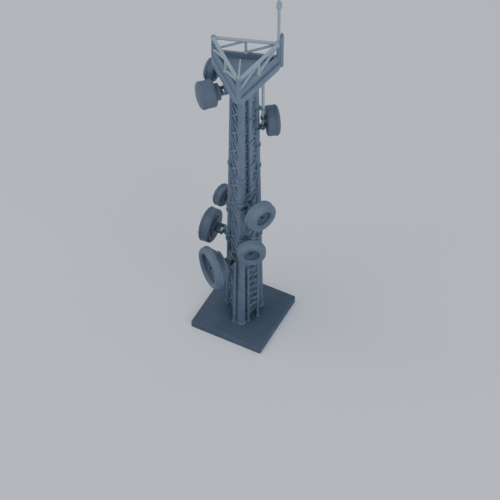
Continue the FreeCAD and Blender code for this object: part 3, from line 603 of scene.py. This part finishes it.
class MAST_OT_reflectors(MastOperator):
    """Turn the bowls and the feeds of the open drums"""

    bl_idname = "mast.reflectors"
    bl_label = "Reflectors"
    # shares of the bowl's radius, of the feed's disc, of the horn's length and of the stem's radius
    RIM_ZONE = 0.97
    HORN_LONG, TIP_WIDE = 1.6, 0.8
    HORN_END = 0.85
    FOOT_WIDE, FOOT_HIGH = 1.6, 2.0

    def execute(self, context):
        detail = context.scene.mast_detail
        for letter in OPEN_DRUMS:
            seat, points = drum_seat(letter)
            along, around = seat.along(points), seat.around(points)
            low, tip, radius = along.min(), along.max(), around.max()
            rim = along[around > self.RIM_ZONE * radius].max()
            floor = low + detail.bowl_floor
            inner = np.linspace(radius - detail.lip, 0.0, BOWL_ROWS)
            bowl = np.stack([floor + (rim - floor) * (inner / inner[0]) ** 2, inner], axis=1)
            shell = np.concatenate([[[low, 0.0], [low, radius], [rim, radius]], bowl])
            feed = self.feed(floor, tip, detail)
            # painted shade: the bowls take the darker shaded resin, for the shade in their hollows
            piece("reflector_bowl_" + letter,
                  [seat.turned(shell, DRUM_SIDES), seat.turned(feed, BAR_SIDES)], "dish_" + letter,
                  bpy.data.materials["shaded_cover_resin"], ["reflector_" + letter])
        return {"FINISHED"}

    def feed(self, floor, tip, detail):
        """A stem that rises from the bowl's floor and opens by the square of the way to a disc."""
        stem, disc = detail.feed_stem, detail.feed_disc
        sunk = floor - detail.lip
        neck = tip - self.HORN_LONG * disc
        way = np.linspace(0.0, 1.0, HORN_ROWS)
        horn = np.stack([neck + (tip - neck) * way * self.HORN_END,
                         stem + (disc - stem) * way ** 2], axis=1)
        foot = [[sunk, 0.0], [sunk, self.FOOT_WIDE * stem], [floor + self.FOOT_HIGH * stem, stem]]
        return np.concatenate([foot, horn, [[tip, self.TIP_WIDE * disc], [tip, 0.0]]])


class MAST_OT_hoops(MastOperator):
    """Put a clamping hoop with its latch round each drum"""

    bl_idname = "mast.hoops"
    bl_label = "Drum Hoops"
    # shares of the drum's radius, of an open drum's wall and of the hoop's width and rise
    WALL_ZONE = 0.99
    OPEN_PLACE = 0.3
    LATCH_WIDE, LATCH_HIGH = 0.9, 2.0

    def execute(self, context):
        detail = context.scene.mast_detail
        for letter in DRUMS:
            seat, front = drum_seat(letter)
            shell = points_of("drum_" + letter)
            along, around = seat.along(shell), seat.around(shell)
            radius = around.max()
            wall = along[around > self.WALL_ZONE * radius]
            place = wall.min() + self.OPEN_PLACE * (wall.max() - wall.min())
            material = bpy.data.materials["drum_resin"]
            if letter in CLOSED_DRUMS:
                # painted shade: hoops on the closed drums take the darker shaded resin
                place = seat.along(front).min()
                material = bpy.data.materials["shaded_cover_resin"]
            band = bead_loop((place, radius), (detail.hoop_half, detail.hoop_rise),
                             HOOP_POWER, HOOP_ROWS)
            half = (self.LATCH_WIDE * detail.hoop_half, detail.latch,
                    self.LATCH_HIGH * detail.hoop_rise)
            latch = seat.blob((place, 0.0, -radius), half, LATCH_POWER, LATCH_ROWS)
            piece("drum_hoop_" + letter, [seat.turned(band, DRUM_SIDES, loop=True), latch],
                  "dish_" + letter, material)
        return {"FINISHED"}


class MAST_OT_pin_nuts(MastOperator):
    """Put a nut on each upright pin and a screw on each leg clamp"""

    bl_idname = "mast.pin_nuts"
    bl_label = "Nuts and Screws"
    # shares of the pin head's radius, of the screw head's radius and of its rise
    NUT_WIDE = 0.82
    SCREW_RISE, SCREW_EDGE = 0.5, 0.3

    def execute(self, context):
        detail = context.scene.mast_detail
        pins = points_of("upright_pins")
        nuts = []
        screws = []
        for letter in DRUMS.replace("c", ""):
            pivot = Vector(PAN_JOINTS[letter]["pos_m"])
            close = pins[np.hypot(pins[:, 0] - pivot.x, pins[:, 1] - pivot.y) < MM]
            seat, radius = upright_end(close)
            wide, high = self.NUT_WIDE * radius, detail.nut_high
            sunk, shoulder, top_rad = -0.1 * high, 0.8 * high, 0.85 * wide
            nuts.append(seat.turned([(sunk, 0.0), (sunk, wide), (shoulder, wide), (high, top_rad),
                                     (high, 0.0)], NUT_SIDES))
            start, rise, tip_rad = 0.9 * high, 0.7 * high, 0.5 * wide
            crown = dome(start, rise, tip_rad, TIP_POWER, TIP_ROWS)
            nuts.append(seat.turned(np.concatenate([[[start, 0.0]], crown]), TIP_SIDES))
            if letter == "h":
                continue
            clamp = points_of("bracket_" + letter)
            middle = (clamp.min(axis=0) + clamp.max(axis=0)) / 2
            head = Seat((middle[0], middle[1], clamp[:, 2].max()), UP)
            rise = self.SCREW_RISE * detail.screw_rad
            crown = dome(self.SCREW_EDGE * rise, rise, detail.screw_rad, SCREW_POWER, SCREW_ROWS)
            screws.append(head.turned(capped(-rise, detail.screw_rad, crown), SCREW_SIDES))
        body = bpy.data.materials["mast_resin"]
        piece("pin_nuts", nuts, "mast", body, smooth=False)
        piece("clamp_screws", screws, "mast", body)
        return {"FINISHED"}


class MAST_OT_bar_ends(MastOperator):
    """Dome the tops of the posts and the ladder, and fillet the bars where they meet"""

    bl_idname = "mast.bar_ends"
    bl_label = "Bar Ends and Fillets"
    # shares of the bar's radius
    FILLET_START = 0.8
    CAP_SUNK = 0.2

    def execute(self, context):
        detail = context.scene.mast_detail
        posts = points_of("corner_posts")
        rail_low, rail_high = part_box("top_rails")
        rail = (rail_low.z + rail_high.z) / 2
        rail_rad = (rail_high.z - rail_low.z) / 2
        caps = []
        corners = []
        for azimuth in CORNER_AZIMUTHS:
            seat, radius = upright_end(near_azimuth(posts, azimuth))
            caps.append(self.cap(seat, radius, detail))
            corners.append((seat.origin * (1.0, 1.0, 0.0) + (0.0, 0.0, rail), radius))
        fillets = []
        for first, second in ((0, 1), (1, 2), (2, 0)):
            for here, there in ((first, second), (second, first)):
                start, radius = corners[here]
                ahead = unit(corners[there][0] - start)
                seat = Seat(start + self.FILLET_START * radius * ahead, ahead)
                fillets.append(self.fillet(seat, rail_rad, detail, BAR_SIDES))
        for azimuth in MIDDLE_AZIMUTHS:
            post = near_azimuth(points_of("mid_posts"), azimuth)
            foot, radius = upright_end(post, top=False)
            fillets.append(self.fillet(foot, radius, detail, BAR_SIDES))
        # painted light: the fillets take the paler thin-bar resin
        piece("rail_fillets", fillets, "mast", bpy.data.materials["lit_thin_resin"])
        stiles = points_of("ladder_stiles")
        low_side = stiles[:, 1] < stiles[:, 1].mean()
        halves = [stiles[low_side], stiles[~low_side]]
        feet = []
        for bar in halves + [points_of("feeder_conduit")]:
            foot, radius = upright_end(bar, top=False)
            feet.append(self.fillet(foot, radius, detail, FOOT_SIDES))
        caps += [self.cap(*upright_end(bar), detail) for bar in halves]
        body = bpy.data.materials["mast_resin"]
        piece("post_caps", caps, "mast", body)
        piece("foot_fillets", feet, "mast", body)
        return {"FINISHED"}

    def cap(self, seat, radius, detail):
        """A domed cap that closes a bar of the given radius."""
        crown = dome(0.0, detail.cap_share * radius, radius, CAP_POWER, CAP_ROWS)
        return seat.turned(capped(-self.CAP_SUNK * radius, radius, crown), FOOT_SIDES)

    @staticmethod
    def fillet(seat, radius, detail, sides):
        """A flared sleeve round a bar of the given radius."""
        return seat.turned(flare(detail.flare_long, radius, detail.flare_wide), sides)


class MAST_OT_stage(MastOperator):
    """Set up the floor, the soft lights and the camera"""

    bl_idname = "mast.stage"
    bl_label = "Stage"

    def execute(self, context):
        stage = context.scene.mast_stage
        half = stage.floor_side / 2
        mesh = bpy.data.meshes.new("floor")
        square = [(-half, -half, 0), (half, -half, 0), (half, half, 0), (-half, half, 0)]
        mesh.from_pydata(square, [], [(0, 1, 2, 3)])
        floor = bpy.data.objects.new("floor", mesh)
        context.scene.collection.objects.link(floor)
        paint(floor, matt_paper("floor_paper", stage.floor_low, stage.floor_high))
        world = bpy.data.worlds.new("surround")
        world.use_nodes = True
        ground = world.node_tree.nodes["Background"]
        ground.inputs["Color"].default_value = stage.sky
        ground.inputs["Strength"].default_value = stage.sky_power
        context.scene.world = world
        self.light(context, "key", KEY_PLACE, stage.key_power, KEY_COLOUR)
        self.light(context, "fill", FILL_PLACE, stage.fill_power, FILL_COLOUR)
        self.camera(context, stage)
        return {"FINISHED"}

    @staticmethod
    def light(context, name, place, strength, colour):
        """A square soft light that faces the middle of the mast."""
        data = bpy.data.lights.new(name, "AREA")
        data.shape = "SQUARE"
        data.size = LIGHT_SIDE
        data.energy = strength
        data.color = colour
        lamp = bpy.data.objects.new(name, data)
        lamp.location = place
        middle = Vector((0.0, 0.0, context.scene.mast_stage.target_high))
        lamp.rotation_euler = (middle - lamp.location).to_track_quat("-Z", "Y").to_euler()
        context.scene.collection.objects.link(lamp)

    @staticmethod
    def camera(context, stage):
        """The camera stands round a point on the mast's axis and looks slightly off that point."""
        flat = math.cos(stage.elevation)
        back = Vector((math.sin(stage.azimuth) * flat, -math.cos(stage.azimuth) * flat,
                       math.sin(stage.elevation)))
        right = back.cross(Vector((0.0, 0.0, -1.0))).normalized()
        over = back.cross(right)
        aim = (-back + stage.aim_side * right - stage.aim_down * over).normalized()
        across = aim.cross(over).normalized()
        upward = across.cross(aim)
        data = bpy.data.cameras.new("camera")
        data.lens = stage.lens
        data.clip_end = CAMERA_REACH
        camera = bpy.data.objects.new("camera", data)
        place = Vector((0.0, 0.0, stage.target_high)) + back * stage.distance
        turn = Matrix((across, upward, -aim)).transposed().to_4x4()
        camera.matrix_world = Matrix.Translation(place) @ turn
        context.scene.collection.objects.link(camera)
        context.scene.camera = camera


class MAST_PT_panel(bpy.types.Panel):
    """The mast's steps, in order"""

    bl_idname = "MAST_PT_panel"
    bl_label = "Radio Mast"
    bl_space_type = "VIEW_3D"
    bl_region_type = "UI"
    bl_category = "Mast"

    def draw(self, context):
        for step in STEPS:
            self.layout.operator(step.bl_idname)


GROUPS = {"mast_finish": MastFinish, "mast_detail": MastDetail, "mast_stage": MastStage}
STEPS = (MAST_OT_resin, MAST_OT_radomes, MAST_OT_reflectors, MAST_OT_hoops, MAST_OT_pin_nuts,
         MAST_OT_bar_ends, MAST_OT_stage)


def register():
    for name, group in GROUPS.items():
        bpy.utils.register_class(group)
        setattr(bpy.types.Scene, name, bpy.props.PointerProperty(type=group))
    for step in STEPS + (MAST_PT_panel,):
        bpy.utils.register_class(step)


def unregister():
    for step in (MAST_PT_panel,) + STEPS:
        bpy.utils.unregister_class(step)
    for name, group in GROUPS.items():
        delattr(bpy.types.Scene, name)
        bpy.utils.unregister_class(group)


def main():
    register()
    bpy.ops.mast.resin()
    bpy.ops.mast.radomes()
    bpy.ops.mast.reflectors()
    bpy.ops.mast.hoops()
    bpy.ops.mast.pin_nuts()
    bpy.ops.mast.bar_ends()
    bpy.ops.mast.stage()


if __name__ == "__main__":
    main()
